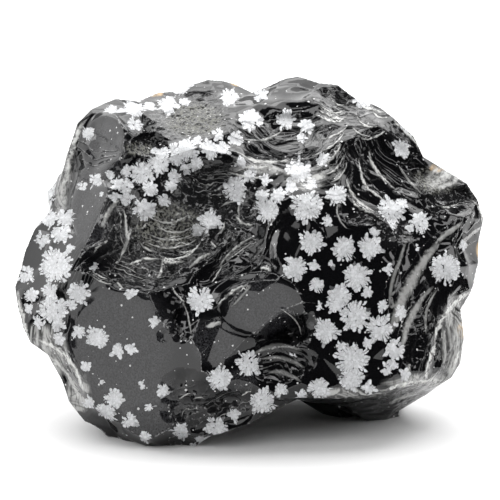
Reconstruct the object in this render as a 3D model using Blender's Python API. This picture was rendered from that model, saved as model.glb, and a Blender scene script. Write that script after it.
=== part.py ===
"""A fist-sized chunk of snowflake obsidian: one solid of volcanic glass, standing on three flats.

The stone is built in four steps. A cage of corners gives the big broken faces. The cage is split
into small triangles. Scoops, ripples and chips are then pressed into it, because glass breaks in
shell-shaped hollows with rings around the blow. Last, the underside is cut level where it stands.

The front corners are read as the stone is seen from the front and a little above: steps across,
steps down, and millimetres from front to back. Corners out of sight are plain x, y, z millimetres.
"""

import math
from collections import namedtuple

import bmesh
import bpy
from mathutils import Vector, noise

MM = 0.001
STEP = 0.214
MIDDLE_ACROSS = 250.0
FLOOR_DOWN = 419.0
TILT = math.radians(15.0)
HEART = Vector((0.0, 3.0, 34.0))

# Longest triangle edge allowed, in mm: finest on tall rings, fine on the broken ground in front,
# coarse on smooth faces, behind and below
RING_EDGE = 1.15
BROKEN_EDGE = 3.2
SMOOTH_EDGE = 5.0
BACK_EDGE = 5.4
SPLIT_PASSES = 5
TALL_RING = 0.35

OUTLINE = [
    (15, 287, 2), (24, 251, 4), (35, 229, 4), (53, 208, 6), (61, 182, 8), (70, 152, 10),
    (79, 124, 12), (92, 110, 14), (116, 100, 18), (137, 101, 20), (156, 92, 22), (179, 90, 22),
    (194, 83, 23), (207, 78, 24), (222, 79, 24), (236, 83, 24), (252, 91, 22), (271, 84, 22),
    (283, 79, 22), (297, 77, 22), (319, 84, 20), (338, 85, 18), (354, 98, 16), (380, 109, 14),
    (393, 117, 12), (414, 135, 12), (424, 156, 12), (446, 170, 12), (466, 184, 10), (478, 200, 8),
    (484, 219, 8), (480, 239, 6), (478, 264, 5), (471, 286, 2), (459, 309, 0), (461, 337, 0),
    (459, 363, -1), (451, 377, -2), (437, 385, -3), (418, 398, 2), (399, 409, 3), (386, 419, 0),
    (367, 420, -1), (351, 414, 2), (332, 406, -2), (306, 401, -12), (297, 398, -18),
    (287, 400, -21), (268, 411, -23), (249, 420, -24), (223, 430, -24), (204, 433, -23),
    (181, 436, -20.5), (163, 443, -20), (147, 443, -20), (128, 436, -17), (112, 426, -14),
    (86, 420, -12), (69, 401, -10), (61, 380, -8), (48, 355, -6), (32, 342, -5), (24, 328, -3),
    (19, 307, 0),
]

# The smooth band down the upper left, with its right edge as a long ridge
LEFT_BAND = [
    (130, 134, 0), (124, 162, -3), (115, 190, -5.6), (105, 215, -7.3), (92, 243, -9),
    (76, 270, -10.5), (52, 298, -9), (84, 132, 12), (82, 165, 7), (74, 205, 2.2), (48, 258, -1),
    (111, 113, 8.6), (95, 113, 12.5), (104, 150, 4.4), (95, 190, 0), (76, 235, -3.6),
]

# The big dark face at the lower left and the pale bevel along its outer edge
LOWER_LEFT = [
    (72, 298, -12), (118, 270, -16), (150, 290, -19.5), (168, 322, -22.4), (182, 332, -24.1),
    (203, 350, -26.7), (203, 367, -27.3), (172, 388, -24.8), (170, 425, -25), (150, 436, -23.4),
    (120, 420, -20.3), (100, 405, -18), (90, 375, -16), (78, 355, -14.2), (55, 333, -11.2),
    (110, 335, -16.7), (140, 360, -20.4), (135, 400, -21.2), (130, 310, -17.8),
]

# The back edge of the top and the slopes that face up
TOP = [
    (118, 117, 6), (140, 112, 13), (160, 110, 14), (195, 102, 15), (230, 104, 13), (262, 106, 13),
    (300, 103, 13), (332, 106, 10), (358, 120, 6), (388, 132, 5), (166, 130, 4), (200, 132, 2),
    (236, 128, 4), (268, 126, 5), (300, 126, 5), (330, 130, 3), (148, 143, 4),
]

# The bright ledge, and the shelves right of it
LEDGE = [
    (128, 172, -4), (158, 160, -5), (198, 149, -4), (228, 154, -4), (252, 166, -6),
    (285, 160, -5), (315, 150, -3), (335, 168, -5), (270, 192, -11.5), (305, 205, -15),
    (337, 192, -11.5),
]

# The deep hackly hollow in the middle and the crags under it
MIDDLE = [
    (148, 206, -9), (176, 232, -12), (200, 182, -7), (226, 212, -10), (244, 248, -14.5),
    (205, 262, -15.5), (165, 256, -15.5), (138, 262, -15.5), (112, 250, -12), (186, 296, -20),
    (238, 288, -20), (266, 238, -15.5),
]

# The black window, the blade left of it and the bowl below the blade
WINDOW = [
    (287, 271, -20.5), (326, 302, -20.6), (306, 230, -17.6), (350, 226, -17), (386, 226, -15.5),
    (345, 275, -19), (382, 318, -19.5), (350, 345, -22.4), (300, 300, -23.1), (276, 309, -23.1),
    (250, 333, -24.4), (226, 356, -25.6), (209, 357, -25.1), (229, 310, -21.6), (262, 290, -21),
    (214, 306, -21.4), (194, 336, -25.4), (215, 338, -23.6), (285, 328, -20.6), (262, 342, -22.6),
    (308, 340, -22.5), (222, 376, -27), (248, 384, -26.6), (300, 380, -25), (335, 376, -23.2),
    (187, 382, -26.1), (196, 402, -26.4), (215, 410, -25.8), (242, 405, -25.6), (265, 396, -25),
    (178, 316, -20.6),
]

# The scar at the upper right, the right lobe and the streaked right flank
RIGHT = [
    (352, 140, 0), (372, 152, 1), (398, 168, 2), (408, 142, 8), (426, 192, 1), (410, 214, -4),
    (376, 207, -8), (350, 186, -8), (440, 212, 0), (452, 240, -4), (428, 238, -7.5),
    (468, 218, 1), (458, 268, -6), (422, 266, -10.5), (396, 246, -13), (404, 292, -15.5),
    (430, 300, -12), (447, 300, -9), (402, 335, -17.5), (430, 342, -13), (445, 335, -9.5),
    (398, 368, -19.5), (424, 370, -14.5), (442, 366, -10), (461, 200, 6),
]

# The lower rim and the dark underside that runs back to the right foot
UNDER_RIM = [
    (300, 395, -23.6), (335, 396, -24), (365, 392, -23.4), (395, 387, -19.5), (420, 385, -11),
    (345, 406, -9), (375, 406, -9), (400, 398, -8),
]

BACK = [
    (-26, 29, 60), (-6, 33, 65), (15, 32, 66), (31, 25, 57), (-43, 18, 47), (-30, 32, 44),
    (-9, 38, 46), (13, 36, 42), (33, 28, 44), (45, 17, 41), (-44, 12, 27), (-31, 27, 22),
    (-12, 35, 22), (14, 33, 18), (35, 25, 22), (44, 13, 22), (-2, 40, 33), (24, 33, 56),
    (-18, 35, 58),
]

UNDERSIDE = [
    (-24, 17, -2), (-7, 18, -2), (-4, 28, -2), (-19, 29, -2), (-27, -14, -2), (-13, -11, -2),
    (-20, -18, -2), (-14, -18, -2), (21, 3, -2), (32, 2, -2), (31, 13, -2), (22, 14, -2),
    (0, -8, 6), (2, 8, 5), (-14, 3, 4), (38, 16, 8), (-34, 2, 9), (-32, 17, 9), (8, 25, 6),
    (22, 24, 6),
]

# A shell-shaped scoop in the front, in steps and degrees: its middle, its half length and half
# height, its turn, its depth in mm, the point that was struck, and the spacing of the rings around
# that point with their height in mm
Scoop = namedtuple("Scoop", "across down length height turn depth hit_across hit_down spacing ring")
SCOOPS = [
    Scoop(388, 172, 46, 34, 50, 3.4, 418, 126, 12.0, 0.50),
    Scoop(284, 330, 32, 17, -28, 3.4, 240, 300, 10.0, 0.05),
    Scoop(286, 366, 34, 19, -4, 1.8, 266, 392, 11.0, 0.35),
    Scoop(284, 146, 54, 28, 2, 2.8, 292, 88, 12.0, 0.60),
    Scoop(345, 112, 34, 22, 35, 1.4, 345, 72, 9.0, 0.20),
    Scoop(208, 180, 40, 15, -12, 2.2, 205, 150, 12.0, 0.25),
    Scoop(240, 210, 34, 22, 58, 2.0, 268, 190, 12.0, 0.25),
    Scoop(226, 262, 46, 15, -34, 2.0, 262, 232, 12.0, 0.25),
    Scoop(104, 262, 22, 15, -25, 2.4, 112, 240, 12.0, 0.20),
    Scoop(149, 146, 26, 12, -6, 3.0, 150, 130, 12.0, 0.15),
    Scoop(430, 232, 24, 26, 10, 2.2, 448, 205, 12.0, 0.15),
    Scoop(442, 345, 16, 34, 8, 1.8, 462, 320, 12.0, 0.15),
    Scoop(415, 322, 18, 46, 12, 2.0, 400, 262, 11.0, 0.45),
    Scoop(225, 396, 42, 20, 8, 1.6, 205, 366, 12.0, 0.25),
    Scoop(186, 398, 16, 30, 8, 1.4, 170, 372, 12.0, 0.15),
    Scoop(304, 240, 40, 26, 10, 1.0, 318, 210, 14.0, 0.05),
    Scoop(104, 150, 20, 16, -20, 0.8, 92, 128, 12.0, 0.10),
    Scoop(60, 372, 12, 30, -30, 1.1, 40, 350, 12.0, 0.15),
    Scoop(340, 404, 40, 9, -4, 1.4, 330, 390, 12.0, 0.15),
    Scoop(172, 228, 34, 22, 10, 1.2, 186, 214, 12.0, 0.20),
    Scoop(195, 118, 32, 20, 5, 1.4, 200, 96, 12.0, 0.15),
]

# Chipped ground in the front: its middle, half length and half height in steps, and the size and
# depth of its chips in mm
Patch = namedtuple("Patch", "across down length height chip depth")
CHIPPED = [
    Patch(212, 200, 66, 62, 6.5, 3.0),
    Patch(150, 262, 50, 36, 5.5, 2.6),
    Patch(195, 122, 48, 26, 4.2, 1.0),
    Patch(168, 228, 42, 30, 4.0, 1.4),
    Patch(150, 172, 44, 24, 4.4, 1.6),
    Patch(330, 118, 64, 40, 6.0, 1.5),
    Patch(262, 178, 70, 30, 6.0, 1.9),
    Patch(440, 190, 46, 34, 6.0, 2.0),
    Patch(440, 330, 26, 70, 9.0, 1.8),
    Patch(225, 412, 66, 26, 6.0, 1.6),
    Patch(52, 375, 34, 66, 4.6, 1.2),
    Patch(66, 160, 22, 60, 4.4, 1.0),
    Patch(380, 402, 64, 20, 5.5, 1.6),
    Patch(390, 240, 26, 30, 5.5, 1.2),
    Patch(128, 224, 22, 42, 3.4, 1.5),
    Patch(215, 94, 70, 16, 4.2, 0.8),
    Patch(176, 312, 22, 34, 3.0, 1.1),
    Patch(192, 390, 34, 22, 3.4, 1.1),
]

# Ground that broke smooth: its middle, half length and half height in steps
SMOOTH = [
    (108, 150, 26, 36), (95, 208, 22, 46), (70, 262, 24, 34), (125, 350, 58, 66), (150, 402, 28, 38),
    (345, 298, 52, 76), (300, 250, 28, 34), (262, 305, 50, 30), (290, 102, 34, 16),
]

# Shell-shaped breaks over the whole skin, in mm: how wide they are and how deep they cut behind
BIG_SHELL = 21.0
BIG_SHELL_DEPTH = 5.0
SMALL_SHELL = 8.0
SMALL_SHELL_DEPTH = 1.5
SEEN_SHELL_SHARE = 0.22

# The drift that bends rings and edges: its wide and narrow wave in mm, its reach in steps, and the
# seed that makes every build bend the same way
WIDE_DRIFT = 11.0
NARROW_DRIFT = 4.5
DRIFT_STEPS = 10.0
DRIFT_SEED = 23

# How far the skin is lifted before the shells cut it back, so that the outline stays where it
# was read, and the height over which shells and lift fade out towards the worn feet, in mm
SKIN_LIFT = 0.8
WORN_HEIGHT = 7.0

# Large scoops out of sight: x, y, z and radius of each ball pressed in, in mm
BALLS = [
    (-34, 62, 52, 30), (12, 66, 34, 33), (46, 46, 60, 27), (52, 36, 18, 27), (-40, 50, 10, 28),
    (0, 2, -14, 19), (-50, 0, -6, 17),
]

INTO_VIEW = Vector((0.0, math.cos(TILT), -math.sin(TILT)))
UP_VIEW = Vector((0.0, math.sin(TILT), math.cos(TILT)))


def seen_corner(across, down, depth):
    """A corner read from the front, as a point in mm."""
    up = (FLOOR_DOWN - down) * STEP
    height = (up - depth * math.sin(TILT)) / math.cos(TILT)
    return Vector(((across - MIDDLE_ACROSS) * STEP, depth, height))


def cage_corners():
    """Every corner with its side: 1 in front, 0 on the outline and -1 behind."""
    front = LEFT_BAND + LOWER_LEFT + TOP + LEDGE + MIDDLE + WINDOW + RIGHT + UNDER_RIM
    corners = [(seen_corner(*corner), 0.0) for corner in OUTLINE]
    corners += [(seen_corner(*corner), 1.0) for corner in front]
    corners += [(Vector(corner), -1.0) for corner in BACK + UNDERSIDE]
    return corners


def wrapped_triples(corners):
    """The corners that each cage face joins, by number, always in the same order."""
    wrap = bmesh.new()
    for place, _ in corners:
        wrap.verts.new((place - HEART).normalized())
    wrap.verts.index_update()
    bmesh.ops.convex_hull(wrap, input=wrap.verts)
    triples = sorted(sorted(vert.index for vert in face.verts) for face in wrap.faces)
    wrap.free()
    return triples


def build_cage(stone):
    """Join the corners into one closed skin, by wrapping their directions from the heart."""
    sides = stone.verts.layers.float.new("side")
    corners = cage_corners()
    verts = []
    for place, side in corners:
        vert = stone.verts.new(place)
        vert[sides] = side
        verts.append(vert)
    for triple in wrapped_triples(corners):
        stone.faces.new([verts[number] for number in triple])
    bmesh.ops.recalc_face_normals(stone, faces=stone.faces)


def edge_limit(edge, sides):
    """Longest edge allowed here: short only where the front is broken ground."""
    if edge.verts[0][sides] + edge.verts[1][sides] <= 0.0:
        return BACK_EDGE
    across, down = view_steps((edge.verts[0].co + edge.verts[1].co) / 2)
    if any(scoop.ring >= TALL_RING and scoop_depth(across, down, scoop) > 0.0 for scoop in SCOOPS):
        return RING_EDGE
    if any(patch_share(across, down, patch) > 0.0 for patch in CHIPPED):
        return BROKEN_EDGE
    return SMOOTH_EDGE


def split_long_edges(stone):
    """Halve every edge over its limit, a few times over."""
    sides = stone.verts.layers.float["side"]
    for _ in range(SPLIT_PASSES):
        long_edges = [e for e in stone.edges if e.calc_length() > edge_limit(e, sides)]
        bmesh.ops.subdivide_edges(stone, edges=long_edges, cuts=1, use_grid_fill=True)
        bmesh.ops.triangulate(stone, faces=stone.faces)
    bmesh.ops.dissolve_degenerate(stone, dist=0.05, edges=stone.edges)


def view_steps(point):
    """Where a point is seen: steps across and steps down."""
    return point.x / STEP + MIDDLE_ACROSS, FLOOR_DOWN - point.dot(UP_VIEW) / STEP


def wander(point):
    """A sideways drift in steps, so that no edge or ring runs like a compass line."""
    drift = noise.noise_vector(point / WIDE_DRIFT) * DRIFT_STEPS
    drift += noise.noise_vector(point / NARROW_DRIFT) * DRIFT_STEPS * 0.4
    return drift.x, drift.z


def scoop_depth(across, down, scoop):
    """How deep one scoop cuts here, with rings around the point that was struck."""
    angle = math.radians(scoop.turn)
    side = across - scoop.across
    drop = down - scoop.down
    along = (side * math.cos(angle) + drop * math.sin(angle)) / scoop.length
    over = (drop * math.cos(angle) - side * math.sin(angle)) / scoop.height
    inside = 1.0 - along * along - over * over
    if inside <= 0.0:
        return 0.0
    travel = math.hypot(across - scoop.hit_across, down - scoop.hit_down) / scoop.spacing
    phase = travel - math.floor(travel)
    wave = phase * phase * (1.0 - phase) * 6.75 - 0.5
    return scoop.depth * inside + scoop.ring * wave * min(1.0, inside * 3.0)


def patch_share(across, down, patch):
    """How strongly a chipped patch acts here, from 0 outside to 1 well inside."""
    away = math.hypot((across - patch.across) / patch.length, (down - patch.down) / patch.height)
    return min(1.0, max(0.0, (1.0 - away) * 2.5))


def shell_cut(point, size):
    """Share from 0 to 1 that neighbouring shells cut here, with sharp ridges between them."""
    spot = point / size
    cut = 0.0
    for middle in noise.voronoi(spot)[1]:
        away = spot - middle
        lean = noise.noise_vector(middle * 7.3)
        cut = max(cut, 1.0 - 1.3 * away.length_squared + 0.7 * away.dot(lean))
    return cut


def chip_depth(point, across, down):
    """How deep the chips of the broken patches cut here."""
    cut = 0.0
    for patch in CHIPPED:
        share = patch_share(across, down, patch)
        if share > 0.0:
            cut = max(cut, patch.depth * share * shell_cut(point, patch.chip))
    return cut


def smoothness(across, down):
    """How smooth the front is here, from 0 to 1."""
    away = min(
        math.hypot((across - middle) / length, (down - level) / height)
        for middle, level, length, height in SMOOTH
    )
    return min(1.0, max(0.0, (1.1 - away) * 4.0))


def carve_front(point, share):
    """Press scoops and chips straight into the view, which keeps them where they are seen."""
    across, down = view_steps(point)
    drift_across, drift_down = wander(point)
    warped_across = across + drift_across
    warped_down = down + drift_down
    cut = max(scoop_depth(warped_across, warped_down, scoop) for scoop in SCOOPS)
    cut += chip_depth(point, warped_across, warped_down)
    return point + INTO_VIEW * cut * share


def carve_back(point, share):
    """Move a point towards the heart, most of the way clear of every ball."""
    inward = (HEART - point).normalized()
    slide = 0.0
    for x, y, z, radius in BALLS:
        offset = point - Vector((x, y, z))
        if offset.length < radius:
            lean = offset.dot(inward)
            slide = max(slide, math.sqrt(lean * lean - offset.length_squared + radius * radius) - lean)
    return point + inward * slide * share


def roughen(point, side):
    """Break the skin into shells: deep out of sight, slight where it would move the outline."""
    inward = (HEART - point).normalized()
    share = SEEN_SHELL_SHARE
    if side > 0.0:
        share *= 1.0 - smoothness(*view_steps(point)) * side
    else:
        share += (1.0 - SEEN_SHELL_SHARE) * min(1.0, -side * 1.5)
    cut = BIG_SHELL_DEPTH * shell_cut(point, BIG_SHELL) + SMALL_SHELL_DEPTH * shell_cut(point, SMALL_SHELL)
    fade = min(1.0, max(0.0, point.z / WORN_HEIGHT))
    return point + inward * (cut * share - SKIN_LIFT) * fade


def shape_skin(stone):
    sides = stone.verts.layers.float["side"]
    for vert in stone.verts:
        side = vert[sides]
        point = roughen(vert.co, side)
        if side > 0.0:
            vert.co = carve_front(point, min(1.0, side * 2.0))
        else:
            vert.co = carve_back(point, min(1.0, -side * 2.0))


def cut_level(stone):
    """Cut the feet level, which leaves the flats the stone stands on."""
    everything = list(stone.verts) + list(stone.edges) + list(stone.faces)
    bmesh.ops.bisect_plane(
        stone, geom=everything, dist=0.0001, plane_co=(0, 0, 0), plane_no=(0, 0, -1), clear_outer=True
    )
    rims = [edge for edge in stone.edges if edge.is_boundary]
    bmesh.ops.holes_fill(stone, edges=rims)
    bmesh.ops.triangulate(stone, faces=stone.faces)
    bmesh.ops.recalc_face_normals(stone, faces=stone.faces)


def centre_and_scale(stone):
    """Stand the stone on z = 0 over the middle of its box, in metres."""
    low = [min(vert.co[axis] for vert in stone.verts) for axis in range(3)]
    high = [max(vert.co[axis] for vert in stone.verts) for axis in range(3)]
    middle = Vector(((low[0] + high[0]) / 2, (low[1] + high[1]) / 2, low[2]))
    bmesh.ops.translate(stone, verts=stone.verts, vec=-middle)
    bmesh.ops.scale(stone, verts=stone.verts, vec=(MM, MM, MM))


def obsidian_material():
    material = bpy.data.materials.new("obsidian")
    material.use_nodes = True
    surface = material.node_tree.nodes["Principled BSDF"]
    surface.inputs["Base Color"].default_value = (0.045, 0.045, 0.05, 1.0)
    surface.inputs["Roughness"].default_value = 0.22
    surface.inputs["IOR"].default_value = 1.5
    return material


def main():
    for thing in list(bpy.data.objects):
        bpy.data.objects.remove(thing)
    noise.seed_set(DRIFT_SEED)
    stone = bmesh.new()
    build_cage(stone)
    split_long_edges(stone)
    shape_skin(stone)
    cut_level(stone)
    centre_and_scale(stone)
    mesh = bpy.data.meshes.new("obsidian_chunk")
    stone.to_mesh(mesh)
    stone.free()
    mesh.materials.append(obsidian_material())
    chunk = bpy.data.objects.new("obsidian_chunk", mesh)
    bpy.context.scene.collection.objects.link(chunk)


main()
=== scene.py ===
"""The looks of the snowflake obsidian chunk: a finely broken skin of black glass with pale spots.

The stone is shaped again from the corners, scoops and chips of the solid, with far smaller triangles,
so that the rings and chips of the broken glass show. Lengths are in mm until the stone is placed.
"""

import math
import random
from collections import namedtuple

import bmesh
import bpy
from mathutils import Matrix, Vector, noise
from mathutils.bvhtree import BVHTree
from mathutils.kdtree import KDTree


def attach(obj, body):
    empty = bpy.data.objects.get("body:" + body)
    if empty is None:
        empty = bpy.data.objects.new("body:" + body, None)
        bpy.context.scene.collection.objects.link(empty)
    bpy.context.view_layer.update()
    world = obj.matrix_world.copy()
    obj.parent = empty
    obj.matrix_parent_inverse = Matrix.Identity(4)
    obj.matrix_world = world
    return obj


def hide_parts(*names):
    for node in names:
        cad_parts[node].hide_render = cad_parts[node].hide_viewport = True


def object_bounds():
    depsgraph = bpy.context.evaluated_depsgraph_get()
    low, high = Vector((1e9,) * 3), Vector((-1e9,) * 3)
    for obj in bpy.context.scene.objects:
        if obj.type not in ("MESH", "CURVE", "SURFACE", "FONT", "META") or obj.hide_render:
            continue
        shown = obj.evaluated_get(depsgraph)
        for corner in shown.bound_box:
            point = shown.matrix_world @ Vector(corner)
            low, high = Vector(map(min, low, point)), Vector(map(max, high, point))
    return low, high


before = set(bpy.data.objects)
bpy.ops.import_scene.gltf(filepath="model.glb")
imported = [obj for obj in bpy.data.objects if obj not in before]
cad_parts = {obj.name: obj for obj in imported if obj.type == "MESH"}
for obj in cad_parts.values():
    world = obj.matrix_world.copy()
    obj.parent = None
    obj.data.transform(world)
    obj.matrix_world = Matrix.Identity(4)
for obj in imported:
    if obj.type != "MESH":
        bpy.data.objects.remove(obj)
CAD_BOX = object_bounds()

# How the front was read: metres in a mm, mm in a step, the steps where its middle and its floor are,
# and how far it looks down. The heart of the stone is in mm.
MM = 0.001
STEP = 0.214
MIDDLE_ACROSS = 250.0
FLOOR_DOWN = 419.0
TILT = math.radians(15.0)
HEART = Vector((0.0, 3.0, 34.0))

# Longest triangle edge on broken ground in front, on smooth ground in front and behind, and the
# shortest edge kept, in mm; how often edges are halved, and the turn that stays sharp
FRONT_EDGE = 0.54
SMOOTH_EDGE = 1.0
BACK_EDGE = 1.4
LEAST_EDGE = 0.05
SPLIT_PASSES = 8
SHARP_TURN = math.radians(38.0)

# The corners of the cage: steps across and down and depth in mm where they were read from the front,
# and places in mm behind and below
OUTLINE = [
    (15, 287, 2), (24, 251, 4), (35, 229, 4), (53, 208, 6), (61, 182, 8), (70, 152, 10), (79, 124, 12),
    (92, 110, 14), (116, 100, 18), (137, 101, 20), (156, 92, 22), (179, 90, 22), (194, 83, 23),
    (207, 78, 24), (222, 79, 24), (236, 83, 24), (252, 91, 22), (271, 84, 22), (283, 79, 22), (297, 77, 22),
    (319, 84, 20), (338, 85, 18), (354, 98, 16), (380, 109, 14), (393, 117, 12), (414, 135, 12),
    (424, 156, 12), (446, 170, 12), (466, 184, 10), (478, 200, 8), (484, 219, 8), (480, 239, 6),
    (478, 264, 5), (471, 286, 2), (459, 309, 0), (461, 337, 0), (459, 363, -1), (451, 377, -2),
    (437, 385, -3), (418, 398, 2), (399, 409, 3), (386, 419, 0), (367, 420, -1), (351, 414, 2),
    (332, 406, -2), (306, 401, -12), (297, 398, -18), (287, 400, -21), (268, 411, -23), (249, 420, -24),
    (223, 430, -24), (204, 433, -23), (181, 436, -20.5), (163, 443, -20), (147, 443, -20), (128, 436, -17),
    (112, 426, -14), (86, 420, -12), (69, 401, -10), (61, 380, -8), (48, 355, -6), (32, 342, -5),
    (24, 328, -3), (19, 307, 0),
]

FRONT = [
    # The smooth band down the upper left, with its right edge as a long ridge
    (130, 134, 0), (124, 162, -3), (115, 190, -5.6), (105, 215, -7.3), (92, 243, -9), (76, 270, -10.5),
    (52, 298, -9), (84, 132, 12), (82, 165, 7), (74, 205, 2.2), (48, 258, -1), (111, 113, 8.6),
    (95, 113, 12.5), (104, 150, 4.4), (95, 190, 0), (76, 235, -3.6),
    # The big dark face at the lower left and the pale bevel along its outer edge
    (72, 298, -12), (118, 270, -16), (150, 290, -19.5), (168, 322, -22.4), (182, 332, -24.1),
    (203, 350, -26.7), (203, 367, -27.3), (172, 388, -24.8), (170, 425, -25), (150, 436, -23.4),
    (120, 420, -20.3), (100, 405, -18), (90, 375, -16), (78, 355, -14.2), (55, 333, -11.2),
    (110, 335, -16.7), (140, 360, -20.4), (135, 400, -21.2), (130, 310, -17.8),
    # The back edge of the top and the slopes that face up
    (118, 117, 6), (140, 112, 13), (160, 110, 14), (195, 102, 15), (230, 104, 13), (262, 106, 13),
    (300, 103, 13), (332, 106, 10), (358, 120, 6), (388, 132, 5), (166, 130, 4), (200, 132, 2),
    (236, 128, 4), (268, 126, 5), (300, 126, 5), (330, 130, 3), (148, 143, 4),
    # The bright ledge, and the shelves right of it
    (128, 172, -4), (158, 160, -5), (198, 149, -4), (228, 154, -4), (252, 166, -6), (285, 160, -5),
    (315, 150, -3), (335, 168, -5), (270, 192, -11.5), (305, 205, -15), (337, 192, -11.5),
    # The deep hackly hollow in the middle and the crags under it
    (148, 206, -9), (176, 232, -12), (200, 182, -7), (226, 212, -10), (244, 248, -14.5), (205, 262, -15.5),
    (165, 256, -15.5), (138, 262, -15.5), (112, 250, -12), (186, 296, -20), (238, 288, -20),
    (266, 238, -15.5),
    # The black window, the blade left of it and the bowl below the blade
    (287, 271, -20.5), (326, 302, -20.6), (306, 230, -17.6), (350, 226, -17), (386, 226, -15.5),
    (345, 275, -19), (382, 318, -19.5), (350, 345, -22.4), (300, 300, -23.1), (276, 309, -23.1),
    (250, 333, -24.4), (226, 356, -25.6), (209, 357, -25.1), (229, 310, -21.6), (262, 290, -21),
    (214, 306, -21.4), (194, 336, -25.4), (215, 338, -23.6), (285, 328, -20.6), (262, 342, -22.6),
    (308, 340, -22.5), (222, 376, -27), (248, 384, -26.6), (300, 380, -25), (335, 376, -23.2),
    (187, 382, -26.1), (196, 402, -26.4), (215, 410, -25.8), (242, 405, -25.6), (265, 396, -25),
    (178, 316, -20.6),
    # The scar at the upper right, the right lobe and the streaked right flank
    (352, 140, 0), (372, 152, 1), (398, 168, 2), (408, 142, 8), (426, 192, 1), (410, 214, -4),
    (376, 207, -8), (350, 186, -8), (440, 212, 0), (452, 240, -4), (428, 238, -7.5), (468, 218, 1),
    (458, 268, -6), (422, 266, -10.5), (396, 246, -13), (404, 292, -15.5), (430, 300, -12), (447, 300, -9),
    (402, 335, -17.5), (430, 342, -13), (445, 335, -9.5), (398, 368, -19.5), (424, 370, -14.5),
    (442, 366, -10), (461, 200, 6),
    # The lower rim and the dark underside that runs back to the right foot
    (300, 395, -23.6), (335, 396, -24), (365, 392, -23.4), (395, 387, -19.5), (420, 385, -11),
    (345, 406, -9), (375, 406, -9), (400, 398, -8),
]
BACK = [
    (-26, 29, 60), (-6, 33, 65), (15, 32, 66), (31, 25, 57), (-43, 18, 47), (-30, 32, 44), (-9, 38, 46),
    (13, 36, 42), (33, 28, 44), (45, 17, 41), (-44, 12, 27), (-31, 27, 22), (-12, 35, 22), (14, 33, 18),
    (35, 25, 22), (44, 13, 22), (-2, 40, 33), (24, 33, 56), (-18, 35, 58),
]
UNDERSIDE = [
    (-24, 17, -2), (-7, 18, -2), (-4, 28, -2), (-19, 29, -2), (-27, -14, -2), (-13, -11, -2), (-20, -18, -2),
    (-14, -18, -2), (21, 3, -2), (32, 2, -2), (31, 13, -2), (22, 14, -2), (0, -8, 6), (2, 8, 5), (-14, 3, 4),
    (38, 16, 8), (-34, 2, 9), (-32, 17, 9), (8, 25, 6), (22, 24, 6),
]

# A shell-shaped scoop in the front, in steps and degrees: its middle, its half length and half
# height, its turn, its depth in mm, the point that was struck, and the spacing of the rings around
# that point with their height in mm. The peak brings the top of a ring to 1.
RING_PEAK = 6.75
Scoop = namedtuple("Scoop", "across down length height turn depth hit_across hit_down spacing ring")
SCOOPS = [Scoop(*row) for row in (
    (388, 172, 46, 34, 50, 3.4, 418, 126, 12, 0.5), (284, 330, 32, 17, -28, 3.4, 240, 300, 10, 0.05),
    (286, 366, 34, 19, -4, 1.8, 266, 392, 11, 0.35), (284, 146, 54, 28, 2, 2.8, 292, 88, 12, 0.6),
    (345, 112, 34, 22, 35, 1.4, 345, 72, 9, 0.2), (208, 180, 40, 15, -12, 2.2, 205, 150, 12, 0.25),
    (240, 210, 34, 22, 58, 2, 268, 190, 12, 0.25), (226, 262, 46, 15, -34, 2, 262, 232, 12, 0.25),
    (104, 262, 22, 15, -25, 2.4, 112, 240, 12, 0.2), (149, 146, 26, 12, -6, 3, 150, 130, 12, 0.15),
    (430, 232, 24, 26, 10, 2.2, 448, 205, 12, 0.15), (442, 345, 16, 34, 8, 1.8, 462, 320, 12, 0.15),
    (415, 322, 18, 46, 12, 2, 400, 262, 11, 0.45), (225, 396, 42, 20, 8, 1.6, 205, 366, 12, 0.25),
    (186, 398, 16, 30, 8, 1.4, 170, 372, 12, 0.15), (304, 240, 40, 26, 10, 0.3, 318, 210, 14, 0.05),
    (104, 150, 20, 16, -20, 0.8, 92, 128, 12, 0.1), (60, 372, 12, 30, -30, 1.1, 40, 350, 12, 0.15),
    (340, 404, 40, 9, -4, 1.4, 330, 390, 12, 0.15), (172, 228, 34, 22, 10, 1.2, 186, 214, 12, 0.2),
    (195, 118, 32, 20, 5, 1.4, 200, 96, 12, 0.15),
)]

# Chipped ground in the front: its middle, half length and half height in steps, and the size and
# depth of its chips in mm
Patch = namedtuple("Patch", "across down length height chip depth")
CHIPPED = [Patch(*row) for row in (
    (212, 200, 66, 62, 6.5, 3), (150, 262, 50, 36, 5.5, 2.6), (195, 122, 48, 26, 4.2, 1),
    (168, 228, 42, 30, 4, 1.4), (150, 172, 44, 24, 4.4, 1.6), (330, 118, 64, 40, 6, 1.5),
    (262, 178, 70, 30, 6, 1.9), (440, 190, 46, 34, 6, 2), (440, 330, 26, 70, 9, 1.8),
    (225, 412, 66, 26, 6, 1.6), (52, 375, 34, 66, 4.6, 1.2), (66, 160, 22, 60, 4.4, 1),
    (380, 402, 64, 20, 5.5, 1.6), (390, 240, 26, 30, 5.5, 1.2), (128, 224, 22, 42, 3.4, 1.5),
    (215, 94, 70, 16, 4.2, 0.8), (176, 312, 22, 34, 3, 1.1), (192, 390, 34, 22, 3.4, 1.1),
)]

# Ground that broke smooth: its middle, half length and half height in steps
SMOOTH = [
    (108, 150, 26, 36), (95, 208, 22, 46), (70, 262, 24, 34), (125, 350, 58, 66), (150, 402, 28, 38),
    (345, 298, 52, 76), (300, 250, 28, 34), (262, 305, 50, 30), (290, 102, 34, 16),
]

# Shell-shaped breaks over the whole skin, in mm: how wide they are and how deep they cut behind
BIG_SHELL = 21.0
BIG_SHELL_DEPTH = 5.0
SMALL_SHELL = 8.0
SMALL_SHELL_DEPTH = 1.5
SEEN_SHELL_SHARE = 0.22

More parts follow.
